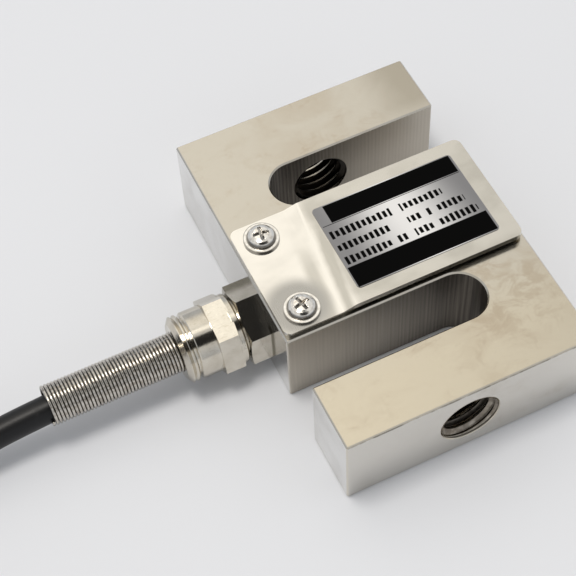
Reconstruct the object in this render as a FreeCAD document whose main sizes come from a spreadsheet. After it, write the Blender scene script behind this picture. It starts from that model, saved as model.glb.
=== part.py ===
import FreeCAD, Part
import math
import operator
import os
from types import SimpleNamespace

import Sketcher
from FreeCAD import Placement, Rotation, Vector

# S type load cell: a steel beam cut by two slots from opposite sides, so that it bends like the letter S
# when its two arms are pulled apart. A web in the middle carries strain gauges under a stepped cover
# plate, and the cable leaves one side through a gland and a coiled guard.
#
# Frame: the beam lies flat on z = 0, its load axis along Y, its arms along X, and the origin is the centre
# of its lower face. Millimetres and degrees throughout.

SIZES = [
    ("beam_width", 50.8, "beam across its arms, X"),
    ("beam_length", 76.2, "beam along its load axis, Y"),
    ("beam_thickness", 19.05, "beam from face to face, Z"),
    ("arm_depth", 13.9, "each arm along Y, from the end face to its slot"),
    ("slot_height", 10.5, "each slot along Y"),
    ("slot_overrun", 7.7, "how far past the middle of the beam the slot's round end is centred"),
    ("edge_break", 0.3, "chamfer on the beam's outline"),
    ("load_bore_radius", 5.95, "M12 load holes, at the roots of their thread"),
    ("load_mouth_chamfer", 0.3, "chamfer at the mouth of a load hole"),
    ("web_thickness", 3.5, "sensing web between the two pockets"),
    ("pocket_length", 22.0, "gauge pocket along X"),
    ("pocket_width", 16.0, "gauge pocket along Y"),
    ("pocket_corner", 4.0, "corner radius of a gauge pocket"),
    ("channel_width", 6.0, "wire channel from the gauge pocket to the wire well"),
    ("channel_overlap", 1.0, "how far the wire channel runs into the gauge pocket"),
    ("well_start", -16.5, "wire well: its end nearest the gland, X"),
    ("well_length", 4.0, "wire well along X"),
    ("well_floor_drop", 3.2, "wire well: its floor below the gland's axis"),
    ("entry_height", 8.8, "gland axis above the beam's lower face"),
    ("entry_bore_radius", 5.05, "tapping radius of the gland hole"),
    ("entry_bore_depth", 6.2, "depth of the gland hole"),
    ("passage_radius", 3.1, "cable passage from the gland hole to the wire well"),
    ("screw_x", -19.9, "cover screws, X"),
    ("screw_spacing", 17.8, "cover screws, centre to centre along Y"),
    ("screw_hole_depth", 6.5, "cover screw hole in the beam"),
    ("screw_radius", 1.5, "cover screw thread, M3"),
    ("screw_head_radius", 2.75, "pan head"),
    ("screw_head_height", 1.5, "pan head"),
    ("screw_length", 6.0, "under the head"),
    ("recess_length", 3.1, "cross recess from tip to tip"),
    ("recess_width", 0.7, "cross recess, one wing"),
    ("recess_depth", 0.95, "cross recess"),
    ("washer_radius", 3.5, "M3 plain washer"),
    ("washer_thickness", 0.5, "M3 plain washer"),
    ("hole_clearance", 0.1, "radial clearance of a screw in the parts it passes through"),
    ("thread_clearance", 0.05, "radial clearance of a screwed pair"),
    ("thread_lead_in", 0.4, "chamfer where a thread starts"),
    ("cover_inset", 0.3, "cover plate's left edge from the beam's left side"),
    ("cover_length", 50.0, "cover plate along X"),
    ("cover_width", 26.1, "cover plate along Y"),
    ("cover_sheet", 1.2, "cover plate thickness"),
    ("cover_lift", 0.72, "raised part of the cover above the beam"),
    ("flange_length", 11.8, "flat flange of the cover plate, to its bend"),
    ("joggle_length", 2.7, "sloping step of the cover plate"),
    ("cover_corner", 1.6, "corner radius of the cover plate"),
    ("joggle_radius", 0.9, "bend radius of the step"),
    ("label_length", 30.2, "rating label along X"),
    ("label_width", 20.2, "rating label along Y"),
    ("label_thickness", 0.12, "rating label"),
    ("label_corner", 0.8, "corner radius of the rating label"),
    ("label_x", 6.3, "middle of the rating label, X"),
    ("hexagon_flats", 14.0, "gland hexagons across their flats"),
    ("hexagon_chamfer", 0.3, "chamfer that rounds off the hexagons' corners"),
    ("gland_hexagon_length", 4.5, "hexagon of the gland body"),
    ("spigot_radius", 5.0, "M10 spigot of the gland body"),
    ("spigot_length", 5.8, "spigot of the gland body"),
    ("neck_radius", 5.6, "threaded neck of the gland body"),
    ("neck_end", 11.5, "end of the neck, from the beam"),
    ("gland_bore_radius", 3.0, "cable hole of the gland body"),
    ("seat_radius", 4.6, "seat of the seal in the neck"),
    ("seat_start", 7.5, "bottom of the seal's seat, from the beam"),
    ("seal_groove_radius", 6.25, "outer radius of the groove for the sealing ring"),
    ("seal_groove_depth", 1.1, "depth of the groove for the sealing ring"),
    ("seal_bore_radius", 2.9, "bore of the seal around the cable"),
    ("seal_nose", 1.3, "how far the seal stands out of its seat"),
    ("clamp_thickness", 1.2, "clamping ring"),
    ("clamp_gap", 0.5, "clamping ring's outside from the neck's"),
    ("clamp_slit", 0.65, "one slit of the clamping ring"),
    ("clamp_slits", 6, "slits of the clamping ring"),
    ("nut_start", 4.85, "near face of the gland nut, from the beam"),
    ("nut_collar_length", 1.1, "round collar before the nut's hexagon"),
    ("nut_collar_radius", 7.1, "round collar before the nut's hexagon"),
    ("nut_hexagon_length", 4.25, "hexagon of the gland nut"),
    ("nut_turn", 17.0, "angle that the nut was tightened to, from the gland body's hexagon"),
    ("nut_barrel_radius", 6.75, "round barrel of the nut"),
    ("nut_barrel_length", 4.2, "round barrel of the nut"),
    ("nut_groove_radius", 5.7, "groove between barrel and rim"),
    ("nut_groove_length", 0.5, "groove between barrel and rim"),
    ("nut_rim_length", 2.3, "double rim at the end of the nut"),
    ("nut_edge", 0.35, "rounded edges of barrel and rim"),
    ("nut_end_cone", 0.8, "cone at the end of the nut, along its axis"),
    ("spring_radius", 4.0, "outside of the coiled guard"),
    ("wire_diameter", 0.65, "wire of the coiled guard"),
    ("spring_pitch", 0.695, "one turn of the coiled guard"),
    ("spring_reach", 42.9, "free end of the coiled guard, from the beam"),
    ("spring_clearance", 0.1, "radial clearance of the guard in the nut"),
    ("cable_diameter", 5.6, "cable over its jacket"),
    ("jacket_end", 4.4, "end of the jacket inside the beam, from the beam's side"),
    ("coil_inner_radius", 23.8, "innermost turn of the coil, at the cable's middle"),
    ("turns_per_layer", 3.5, "turns of one layer of the coil, each a cable's diameter from the next"),
    ("upper_turns", 1.5, "turns of the third layer"),
    ("coil_x", -153.6, "middle of the coil, X"),
    ("coil_y", 14.1, "middle of the coil, Y"),
    ("entry_angle", -60.0, "where the cable runs into the coil"),
    ("entry_length", 23.0, "straight length of cable that runs into the coil"),
    ("approach_length", 15.0, "cable before that, on the floor in the same direction"),
    ("droop_length", 18.0, "cable past the guard, over which it starts down to the floor"),
    ("droop_start", 0.28, "how far the cable has sunk where the guard ends"),
    ("droop_end", 1.8, "how far it has sunk at the end of that length"),
    ("sway_start", -0.3, "cable beside the gland's axis where the guard ends, Y"),
    ("sway_end", -1.0, "the same at the end of that length, Y"),
    ("tie_thickness", 0.6, "band of a coil tie"),
    ("tie_width", 5.0, "band of a coil tie"),
    ("first_tie_angle", 160.0, "where the first tie goes round the coil"),
    ("second_tie_angle", 255.0, "where the second tie goes round the coil"),
    ("fit", 0.05, "clearance of soft parts against their neighbours"),
    ("sleeve_length", 12.0, "shrink sleeve on the cable's end"),
    ("sleeve_wall", 0.35, "shrink sleeve"),
    ("lead_radius", 0.55, "insulated lead"),
    ("strand_radius", 0.3, "tinned strand at the end of a lead"),
    ("lead_length", 34.0, "insulated part of a lead"),
    ("strand_length", 6.0, "tinned end of a lead"),
    ("lead_spacing", 1.5, "leads side by side"),
    ("gauge_length", 5.0, "strain gauge carrier"),
    ("gauge_width", 3.4, "strain gauge carrier"),
    ("gauge_thickness", 0.12, "strain gauge carrier"),
    ("gauge_spread", 3.6, "strain gauge from the middle of the web, Y"),
    ("terminal_length", 4.0, "terminal board along X"),
    ("terminal_width", 10.0, "terminal board along Y"),
    ("terminal_thickness", 0.8, "terminal board"),
    ("board_inset", 3.0, "middle of terminal board or resistor from its end of the gauge pocket"),
    ("resistor_length", 1.6, "balance resistor along X"),
    ("resistor_width", 3.2, "balance resistor along Y"),
    ("resistor_height", 0.6, "balance resistor"),
    ("core_radius", 0.4, "core of the cable inside the beam"),
    ("core_spacing", 1.2, "cores side by side"),
    ("core_lift", 0.6, "cores above the cable's axis where the jacket ends"),
    ("potting_depth", 1.6, "top of the potting below the face of the beam"),
    ("potting_room", 2.3, "room that the potting leaves over the terminal board"),
]


class Size:
    """A length or an angle: its number, and the expression that ties it to the sheet."""

    def __init__(self, number, text):
        self.number = number
        self.text = text

    def __add__(self, other):
        return joined(self, "+", other)

    def __radd__(self, other):
        return joined(other, "+", self)

    def __sub__(self, other):
        return joined(self, "-", other)

    def __rsub__(self, other):
        return joined(other, "-", self)

    def __mul__(self, other):
        return joined(self, "*", other)

    def __rmul__(self, other):
        return joined(other, "*", self)

    def __truediv__(self, other):
        return joined(self, "/", other)

    def __neg__(self):
        return Size(-self.number, f"(-1 * {self.text})")


ACTIONS = {"+": operator.add, "-": operator.sub, "*": operator.mul, "/": operator.truediv}


def asSize(value):
    if isinstance(value, Size):
        return value
    return Size(float(value), f"({float(value):.9g})")


def joined(first, sign, second):
    first = asSize(first)
    second = asSize(second)
    number = ACTIONS[sign](first.number, second.number)
    return Size(number, f"({first.text} {sign} {second.text})")


def makeSheet():
    sheet = doc.addObject("Spreadsheet::Sheet", "Sizes")
    named = {}
    for row, (alias, number, note) in enumerate(SIZES, start=1):
        sheet.set(f"A{row}", alias)
        sheet.set(f"B{row}", str(number))
        sheet.setAlias(f"B{row}", alias)
        sheet.set(f"C{row}", note)
        named[alias] = Size(float(number), f"Sizes.{alias}")
    return SimpleNamespace(**named)


def bind(thing, name, size):
    """Ties a property of an object to the sheet."""
    thing.setExpression(name, asSize(size).text)


def place(thing, x=0, y=0, z=0, turn=0, axis=Vector(0, 0, 1)):
    """Gives a sub-part its place, and ties the place to the sheet."""
    values = [asSize(v) for v in (x, y, z)]
    angle = asSize(turn)
    thing.Placement = Placement(Vector(*[v.number for v in values]), Rotation(axis, angle.number))
    for name, value in zip("xyz", values):
        bind(thing, f".Placement.Base.{name}", value)
    if isinstance(turn, Size):
        bind(thing, ".Placement.Rotation.Angle", angle)


def newBody(name):
    body = doc.addObject("PartDesign::Body", name)
    body.Label = name
    parts.append(body)
    return body


def newSketch(body, name, role, offset=0):
    """A sketch on one of the body's own origin planes, moved along the plane's normal."""
    sketch = body.newObject("Sketcher::SketchObject", name)
    plane = [f for f in body.Origin.OriginFeatures if f.Role == role][0]
    sketch.AttachmentSupport = (plane, [""])
    sketch.MapMode = "FlatFace"
    if isinstance(offset, Size) or offset:
        sketch.AttachmentOffset = Placement(Vector(0, 0, asSize(offset).number), Rotation())
        bind(sketch, ".AttachmentOffset.Base.z", offset)
    return sketch


def fixPoint(sketch, geometry, end, x, y):
    """Holds one point of a sketch at x, y, both tied to the sheet."""
    for kind, value in (("DistanceX", asSize(x)), ("DistanceY", asSize(y))):
        index = sketch.addConstraint(Sketcher.Constraint(kind, -1, 1, geometry, end, value.number))
        bind(sketch, f"Constraints[{index}]", value)


def polygon(sketch, points):
    """A closed outline of straight lines."""
    corners = [Vector(asSize(x).number, asSize(y).number, 0) for x, y in points]
    first = sketch.GeometryCount
    count = len(points)
    for index, corner in enumerate(corners):
        sketch.addGeometry(Part.LineSegment(corner, corners[(index + 1) % count]))
    for index in range(count):
        following = first + (index + 1) % count
        sketch.addConstraint(Sketcher.Constraint("Coincident", first + index, 2, following, 1))
    for index, (x, y) in enumerate(points):
        fixPoint(sketch, first + index, 1, x, y)


def rectangle(sketch, x0, y0, x1, y1):
    polygon(sketch, [(x0, y0), (x1, y0), (x1, y1), (x0, y1)])


def circle(sketch, x, y, radius):
    middle = Vector(asSize(x).number, asSize(y).number, 0)
    index = sketch.addGeometry(Part.Circle(middle, Vector(0, 0, 1), asSize(radius).number))
    fixPoint(sketch, index, 3, x, y)
    held = sketch.addConstraint(Sketcher.Constraint("Radius", index, asSize(radius).number))
    bind(sketch, f"Constraints[{held}]", radius)


def hexagon(sketch, flats):
    """A hexagon about the sketch's origin, with two of its corners on the vertical axis."""
    corner_radius = flats / math.sqrt(3)
    points = []
    for step in range(6):
        angle = math.radians(90 + 60 * step)
        points.append((corner_radius * math.cos(angle), corner_radius * math.sin(angle)))
    polygon(sketch, points)


def slotOutline(sketch, open_x, end_x, low_y, high_y):
    """A slot with one open end at open_x and a half-round end centred at end_x."""
    x0, x1, y0, y1 = [asSize(v).number for v in (open_x, end_x, low_y, high_y)]
    toward = 1 if x1 > x0 else -1
    radius = (y1 - y0) / 2
    low, high = Vector(x1, y0, 0), Vector(x1, y1, 0)
    lines = [
        sketch.addGeometry(Part.LineSegment(Vector(x0, y0, 0), low)),
        sketch.addGeometry(Part.LineSegment(high, Vector(x0, y1, 0))),
        sketch.addGeometry(Part.LineSegment(Vector(x0, y1, 0), Vector(x0, y0, 0))),
    ]
    tip = Vector(x1 + toward * radius, (y0 + y1) / 2, 0)
    ends = (low, tip, high) if toward > 0 else (high, tip, low)
    arc = sketch.addGeometry(Part.Arc(*ends))
    low_end, high_end = (1, 2) if toward > 0 else (2, 1)
    sketch.addConstraint(Sketcher.Constraint("Coincident", lines[0], 2, arc, low_end))
    sketch.addConstraint(Sketcher.Constraint("Coincident", lines[1], 1, arc, high_end))
    sketch.addConstraint(Sketcher.Constraint("Coincident", lines[1], 2, lines[2], 1))
    sketch.addConstraint(Sketcher.Constraint("Coincident", lines[2], 2, lines[0], 1))
    fixPoint(sketch, lines[0], 1, open_x, low_y)
    fixPoint(sketch, lines[0], 2, end_x, low_y)
    fixPoint(sketch, lines[1], 1, end_x, high_y)
    fixPoint(sketch, lines[1], 2, open_x, high_y)
    held = sketch.addConstraint(Sketcher.Constraint("DistanceX", -1, 1, arc, 3, x1))
    bind(sketch, f"Constraints[{held}]", end_x)


def pad(body, sketch, length, symmetric=False):
    feature = body.newObject("PartDesign::Pad", sketch.Name + "_pad")
    feature.Profile = sketch
    feature.Length = asSize(length).number
    bind(feature, "Length", length)
    if symmetric:
        feature.SideType = "Symmetric"
    sketch.Visibility = False
    doc.recompute()
    return feature


def checkedCut(body, feature, before):
    """A cut that points away from the solid removes nothing and shows no error."""
    doc.recompute()
    if not feature.Shape.Volume < before - 1e-6:
        raise RuntimeError(f"{body.Name}: {feature.Name} removes nothing")
    return feature


def pocket(body, sketch, depth, upward=False):
    """Cuts against the sketch's normal, or along it when upward is set."""
    before = body.Shape.Volume
    feature = body.newObject("PartDesign::Pocket", sketch.Name + "_cut")
    feature.Profile = sketch
    feature.Length = asSize(depth).number
    bind(feature, "Length", depth)
    feature.Reversed = upward
    return checkedCut(body, feature, before)


def revolve(body, sketch, axis="H_Axis"):
    feature = body.newObject("PartDesign::Revolution", sketch.Name + "_turned")
    feature.Profile = sketch
    feature.ReferenceAxis = (sketch, [axis])
    feature.Angle = 360
    doc.recompute()
    return feature


def groove(body, sketch, axis="H_Axis"):
    before = body.Shape.Volume
    feature = body.newObject("PartDesign::Groove", sketch.Name + "_cut")
    feature.Profile = sketch
    feature.ReferenceAxis = (sketch, [axis])
    feature.Angle = 360
    return checkedCut(body, feature, before)


def edgesOf(feature, wanted):
    """The names of a feature's edges that pass a test."""
    return [f"Edge{i}" for i, edge in enumerate(feature.Shape.Edges, start=1) if wanted(edge)]


def dress(body, kind, base, wanted, size):
    """A Fillet or Chamfer on the edges of base that pass the test."""
    feature = body.newObject("PartDesign::" + kind, f"{base.Name}_{kind.lower()}")
    feature.Base = (base, edgesOf(base, wanted))
    name = "Radius" if kind == "Fillet" else "Size"
    setattr(feature, name, asSize(size).number)
    bind(feature, name, size)
    doc.recompute()
    return feature


def isUpright(edge):
    """A straight edge along Z."""
    if not isinstance(edge.Curve, Part.Line):
        return False
    low, high = edge.Vertexes[0].Point, edge.Vertexes[-1].Point
    return abs(low.x - high.x) < 1e-6 and abs(low.y - high.y) < 1e-6


def shaped(name, shape):
    """A sub-part whose shape is worked out by Part from the sheet's numbers."""
    feature = doc.addObject("Part::Feature", name)
    feature.Label = name
    feature.Shape = shape
    feature.Placement = Placement()
    parts.append(feature)
    return feature


def makeBeamBody():
    half_width = s.beam_width / 2
    half_length = s.beam_length / 2
    slot_high = half_length - s.arm_depth
    slot_low = slot_high - s.slot_height
    body = newBody("beam_body")

    outline = newSketch(body, "beam_outline", "XY_Plane")
    rectangle(outline, -half_width, -half_length, half_width, half_length)
    pad(body, outline, s.beam_thickness)

    far_slot = newSketch(body, "far_slot", "XY_Plane")
    slotOutline(far_slot, half_width, -s.slot_overrun, slot_low, slot_high)
    pocket(body, far_slot, s.beam_thickness, upward=True)
    near_slot = newSketch(body, "near_slot", "XY_Plane")
    slotOutline(near_slot, -half_width, s.slot_overrun, -slot_high, -slot_low)
    slotted = pocket(body, near_slot, s.beam_thickness, upward=True)
    dress(body, "Chamfer", slotted, lambda edge: True, s.edge_break)

    # Each load hole runs from its end face through the arm and stops in the open slot.
    hole_depth = s.arm_depth + s.slot_height / 2
    middle_height = s.beam_thickness / 2
    for side, name in ((1, "near_load_hole"), (-1, "far_load_hole")):
        hole = newSketch(body, name, "XZ_Plane", side * half_length)
        circle(hole, 0, middle_height, s.load_bore_radius)
        bored = pocket(body, hole, hole_depth, upward=side < 0)
    end_y = half_length.number

    def isMouth(edge):
        round_edge = isinstance(edge.Curve, Part.Circle)
        return round_edge and abs(abs(edge.BoundBox.Center.y) - end_y) < 1e-6 and edge.Length > 20

    dress(body, "Chamfer", bored, isMouth, s.load_mouth_chamfer)

    # Gauge pockets from both faces leave the sensing web between them.
    pocket_depth = (s.beam_thickness - s.web_thickness) / 2
    half_pocket = s.pocket_length / 2
    side_pocket = s.pocket_width / 2
    front = newSketch(body, "front_pocket", "XY_Plane", s.beam_thickness)
    rectangle(front, -half_pocket, -side_pocket, half_pocket, side_pocket)
    pocket(body, front, pocket_depth)
    rear = newSketch(body, "rear_pocket", "XY_Plane")
    rectangle(rear, -half_pocket, -side_pocket, half_pocket, side_pocket)
    milled = pocket(body, rear, pocket_depth, upward=True)
    corner_x, corner_y = half_pocket.number, side_pocket.number

    def isPocketCorner(edge):
        if not isUpright(edge):
            return False
        at = edge.Vertexes[0].Point
        return abs(abs(at.x) - corner_x) < 1e-6 and abs(abs(at.y) - corner_y) < 1e-6

    dress(body, "Fillet", milled, isPocketCorner, s.pocket_corner)

    # The wires come from the gland hole through a passage into a deeper well, then along a channel.
    channel = newSketch(body, "wire_channel", "XY_Plane", s.beam_thickness)
    channel_end = s.channel_overlap - half_pocket
    rectangle(channel, s.well_start, -s.channel_width / 2, channel_end, s.channel_width / 2)
    pocket(body, channel, pocket_depth)
    well = newSketch(body, "wire_well", "XY_Plane", s.beam_thickness)
    rectangle(well, s.well_start, -s.channel_width / 2, s.well_start + s.well_length, s.channel_width / 2)
    pocket(body, well, s.beam_thickness - s.entry_height + s.well_floor_drop)
    bore = newSketch(body, "gland_hole", "YZ_Plane", -half_width)
    circle(bore, 0, s.entry_height, s.entry_bore_radius)
    pocket(body, bore, s.entry_bore_depth, upward=True)
    passage = newSketch(body, "cable_passage", "YZ_Plane", -half_width)
    circle(passage, 0, s.entry_height, s.passage_radius)
    pocket(body, passage, s.well_start + s.well_length / 2 + half_width, upward=True)

    screws = newSketch(body, "cover_screw_holes", "XY_Plane", s.beam_thickness)
    for side in (-1, 1):
        circle(screws, s.screw_x, side * s.screw_spacing / 2, s.screw_radius)
    pocket(body, screws, s.screw_hole_depth)


def makeCoverPlate():
    """A sheet with one step: its flange is screwed down and the rest stands just clear of the beam."""
    left = s.cover_inset - s.beam_width / 2
    bend = left + s.flange_length
    rise = bend + s.joggle_length
    right = left + s.cover_length
    base = s.beam_thickness
    raised = base + s.cover_lift
    body = newBody("cover_plate")
    side = newSketch(body, "cover_side", "XZ_Plane")
    polygon(
        side,
        [
            (left, base),
            (bend, base),
            (rise, raised),
            (right, raised),
            (right, raised + s.cover_sheet),
            (rise, raised + s.cover_sheet),
            (bend, base + s.cover_sheet),
            (left, base + s.cover_sheet),
        ],
    )
    sheet_metal = pad(body, side, s.cover_width, symmetric=True)
    rounded = dress(body, "Fillet", sheet_metal, isUpright, s.cover_corner)
    bends = (bend.number, rise.number)

    def isBend(edge):
        if not isinstance(edge.Curve, Part.Line):
            return False
        first, last = edge.Vertexes[0].Point, edge.Vertexes[-1].Point
        along_y = abs(first.x - last.x) < 1e-6 and abs(first.z - last.z) < 1e-6
        return along_y and any(abs(first.x - x) < 1e-6 for x in bends)

    dress(body, "Fillet", rounded, isBend, s.joggle_radius)
    holes = newSketch(body, "cover_holes", "XY_Plane", s.beam_thickness + s.cover_sheet)
    for side_sign in (-1, 1):
        hole_radius = s.screw_radius + s.hole_clearance
        circle(holes, s.screw_x, side_sign * s.screw_spacing / 2, hole_radius)
    pocket(body, holes, s.cover_sheet)


def makeRatingLabel():
    body = newBody("rating_label")
    outline = newSketch(body, "label_outline", "XY_Plane")
    rectangle(outline, -s.label_length / 2, -s.label_width / 2, s.label_length / 2, s.label_width / 2)
    foil = pad(body, outline, s.label_thickness)
    dress(body, "Fillet", foil, isUpright, s.label_corner)
    place(body, s.label_x, 0, s.beam_thickness + s.cover_lift + s.cover_sheet)


def makeScrewsAndWashers():
    washer_base = s.beam_thickness + s.cover_sheet
    for number, side in ((1, -1), (2, 1)):
        y = side * s.screw_spacing / 2
        washer = newBody(f"screw_washer_{number}")
        ring = newSketch(washer, f"washer_section_{number}", "XZ_Plane")
        inner = s.screw_radius + s.hole_clearance
        rectangle(ring, inner, 0, s.washer_radius, s.washer_thickness)
        revolve(washer, ring, "V_Axis")
        place(washer, s.screw_x, y, washer_base)

        # The head's crown is three cones, at shares of its radius and height, and the shank is as thick
        # as its thread.
        screw = newBody(f"cover_screw_{number}")
        section = newSketch(screw, f"screw_section_{number}", "XZ_Plane")
        shank = s.screw_radius - s.thread_clearance
        head, height = s.screw_head_radius, s.screw_head_height
        polygon(
            section,
            [
                (0, -s.screw_length),
                (shank - s.thread_lead_in, -s.screw_length),
                (shank, s.thread_lead_in - s.screw_length),
                (shank, 0),
                (head, 0),
                (head, height * 0.25),
                (head * 0.93, height * 0.55),
                (head * 0.77, height * 0.82),
                (head * 0.5, height),
                (0, height),
            ],
        )
        revolve(screw, section, "V_Axis")
        cross = newSketch(screw, f"screw_recess_{number}", "XY_Plane", height)
        tip, wing = s.recess_length / 2, s.recess_width / 2
        polygon(
            cross,
            [
                (tip, -wing),
                (tip, wing),
                (wing, wing),
                (wing, tip),
                (-wing, tip),
                (-wing, wing),
                (-tip, wing),
                (-tip, -wing),
                (-wing, -wing),
                (-wing, -tip),
                (wing, -tip),
                (wing, -wing),
            ],
        )
        pocket(screw, cross, s.recess_depth)
        place(screw, s.screw_x, y, washer_base + s.washer_thickness)


def placeOnGlandAxis(body, turn=None):
    """Gland pieces are drawn along +X from the beam's side, and lie along -X in the assembly."""
    place(body, -s.beam_width / 2, 0, s.entry_height)
    over = Rotation(Vector(0, 0, 1), 180)
    if turn is None:
        body.Placement.Rotation = over
    else:
        body.Placement = Placement(body.Placement.Base, over * Rotation(Vector(1, 0, 0), turn.number))


def cornerChamfer(body, name, at, toward, corner_radius):
    """Turns the corners of a hexagon's end down to a cone; toward is +1 or -1 along the axis."""
    sketch = newSketch(body, name, "XY_Plane")
    outer = corner_radius + 1
    slope = s.hexagon_chamfer / (corner_radius - s.hexagon_flats / 2)
    polygon(
        sketch,
        [
            (at, s.hexagon_flats / 2),
            (at + toward * (outer - s.hexagon_flats / 2) * slope, outer),
            (at, outer),
        ],
    )
    groove(body, sketch)


def makeGlandBody():
    body = newBody("gland_body")
    corner_radius = s.hexagon_flats / math.sqrt(3)
    six = newSketch(body, "gland_hexagon", "YZ_Plane")
    hexagon(six, s.hexagon_flats)
    pad(body, six, s.gland_hexagon_length)
    shaft = newSketch(body, "gland_shaft", "XY_Plane")
    lead_in = s.thread_lead_in
    polygon(
        shaft,
        [
            (-s.spigot_length, 0),
            (-s.spigot_length, s.spigot_radius - lead_in),
            (lead_in - s.spigot_length, s.spigot_radius),
            (s.gland_hexagon_length / 2, s.spigot_radius),
            (s.gland_hexagon_length / 2, s.neck_radius),
            (s.neck_end - lead_in, s.neck_radius),
            (s.neck_end, s.neck_radius - lead_in),
            (s.neck_end, 0),
        ],
    )
    revolve(body, shaft)
    ring = newSketch(body, "gland_ring_groove", "XY_Plane")
    rectangle(ring, 0, s.spigot_radius, s.seal_groove_depth, s.seal_groove_radius)
    groove(body, ring)
    bore = newSketch(body, "gland_bore", "XY_Plane")
    polygon(
        bore,
        [
            (-s.spigot_length, 0),
            (-s.spigot_length, s.gland_bore_radius),
            (s.seat_start, s.gland_bore_radius),
            (s.seat_start, s.seat_radius),
            (s.neck_end, s.seat_radius),
            (s.neck_end, 0),
        ],
    )
    groove(body, bore)
    cornerChamfer(body, "gland_corner", s.gland_hexagon_length, -1, corner_radius)
    placeOnGlandAxis(body)


def makeSealingRing():
    """A rubber ring that fills its groove from the beam's side to the groove's bottom."""
    ring = doc.addObject("Part::Torus", "sealing_ring")
    ring.Label = "sealing_ring"
    bind(ring, "Radius2", s.seal_groove_depth / 2 - s.fit / 2)
    bind(ring, "Radius1", (s.spigot_radius + s.seal_groove_radius) / 2)
    place(ring, -s.beam_width / 2 - s.seal_groove_depth / 2, 0, s.entry_height, 90, Vector(0, 1, 0))
    parts.append(ring)


def makeGlandSeal():
    body = newBody("gland_seal")
    section = newSketch(body, "seal_section", "XY_Plane")
    outer = s.seat_radius - s.fit
    nose = s.neck_end + s.seal_nose
    polygon(
        section,
        [
            (s.seat_start, s.seal_bore_radius),
            (s.seat_start, outer),
            (s.neck_end, outer),
            (nose, outer - s.seal_nose / 2),
            (nose, s.seal_bore_radius),
        ],
    )
    revolve(body, section)
    placeOnGlandAxis(body)


def makeClampRing():
    """A slit ring between the seal's nose and the shoulder in the nut."""
    body = newBody("clamp_ring")
    start = s.neck_end + s.seal_nose
    section = newSketch(body, "clamp_section", "XY_Plane")
    inner = s.seal_bore_radius + s.hole_clearance
    outer = s.neck_radius - s.clamp_gap
    rectangle(section, start, inner, start + s.clamp_thickness, outer)
    revolve(body, section)
    slit = newSketch(body, "clamp_slit", "YZ_Plane", start + s.clamp_thickness)
    rectangle(slit, -s.clamp_slit / 2, s.gland_bore_radius / 2, s.clamp_slit / 2, (inner + outer) / 2)
    cut = pocket(body, slit, s.clamp_thickness * 2)
    pattern = body.newObject("PartDesign::PolarPattern", "clamp_slits_pattern")
    pattern.Originals = [cut]
    axis = [f for f in body.Origin.OriginFeatures if f.Role == "X_Axis"][0]
    pattern.Axis = (axis, [""])
    pattern.Angle = 360
    bind(pattern, "Occurrences", s.clamp_slits)
    body.Tip = pattern
    doc.recompute()
    placeOnGlandAxis(body)


def makeGlandNut():
    body = newBody("gland_nut")
    corner_radius = s.hexagon_flats / math.sqrt(3)
    hexagon_start = s.nut_start + s.nut_collar_length
    barrel_start = hexagon_start + s.nut_hexagon_length
    barrel_end = barrel_start + s.nut_barrel_length
    rim_start = barrel_end + s.nut_groove_length
    rim_middle = rim_start + s.nut_rim_length * 0.42
    nut_end = rim_start + s.nut_rim_length
    outer, edge = s.nut_barrel_radius, s.nut_edge
    six = newSketch(body, "nut_hexagon", "YZ_Plane", hexagon_start)
    hexagon(six, s.hexagon_flats)
    pad(body, six, s.nut_hexagon_length)
    cornerChamfer(body, "nut_corner", hexagon_start, 1, corner_radius)

    turned = newSketch(body, "nut_turned", "XY_Plane")
    polygon(
        turned,
        [
            (s.nut_start, 0),
            (s.nut_start, s.nut_collar_radius - edge),
            (s.nut_start + edge, s.nut_collar_radius),
            (hexagon_start + edge, s.nut_collar_radius),
            (hexagon_start + edge, outer),
            (barrel_end - edge, outer),
            (barrel_end, outer - edge),
            (barrel_end, s.nut_groove_radius),
            (rim_start, s.nut_groove_radius),
            (rim_start, outer - edge),
            (rim_start + edge, outer),
            (rim_middle - edge, outer),
            (rim_middle, outer - edge),
            (rim_middle + edge, outer),
            (nut_end - s.nut_end_cone, outer),
            (nut_end, outer - s.nut_end_cone * 1.5),
            (nut_end, 0),
        ],
    )
    revolve(body, turned)
    bore = newSketch(body, "nut_bore", "XY_Plane")
    thread = s.neck_radius + s.thread_clearance
    shoulder = s.neck_end + s.seal_nose + s.clamp_thickness
    mouth = s.spring_radius + s.spring_clearance
    polygon(
        bore,
        [
            (s.nut_start, 0),
            (s.nut_start, thread + edge),
            (s.nut_start + edge, thread),
            (shoulder, thread),
            (shoulder, mouth),
            (nut_end, mouth),
            (nut_end, 0),
        ],
    )
    groove(body, bore)
    placeOnGlandAxis(body, s.nut_turn)


def makeGuardSpring():
    """The close-coiled guard: a wall one wire thick whose outside rises and falls once for each turn."""
    start = s.neck_end + s.seal_nose + s.clamp_thickness
    turns = round((s.spring_reach - start).number / s.spring_pitch.number)
    pitch = (s.spring_reach - start).number / turns
    outer = s.spring_radius.number
    root = outer - s.wire_diameter.number / 2
    inner = outer - s.wire_diameter.number
    points = [Vector(start.number, inner, 0)]
    for turn in range(turns):
        points.append(Vector(start.number + turn * pitch, root, 0))
        points.append(Vector(start.number + (turn + 0.5) * pitch, outer, 0))
    points.append(Vector(s.spring_reach.number, root, 0))
    points.append(Vector(s.spring_reach.number, inner, 0))
    face = Part.Face(Part.makePolygon(points + points[:1]))
    guard = shaped("guard_spring", face.revolve(Vector(0, 0, 0), Vector(1, 0, 0), 360))
    placeOnGlandAxis(guard)


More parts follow.
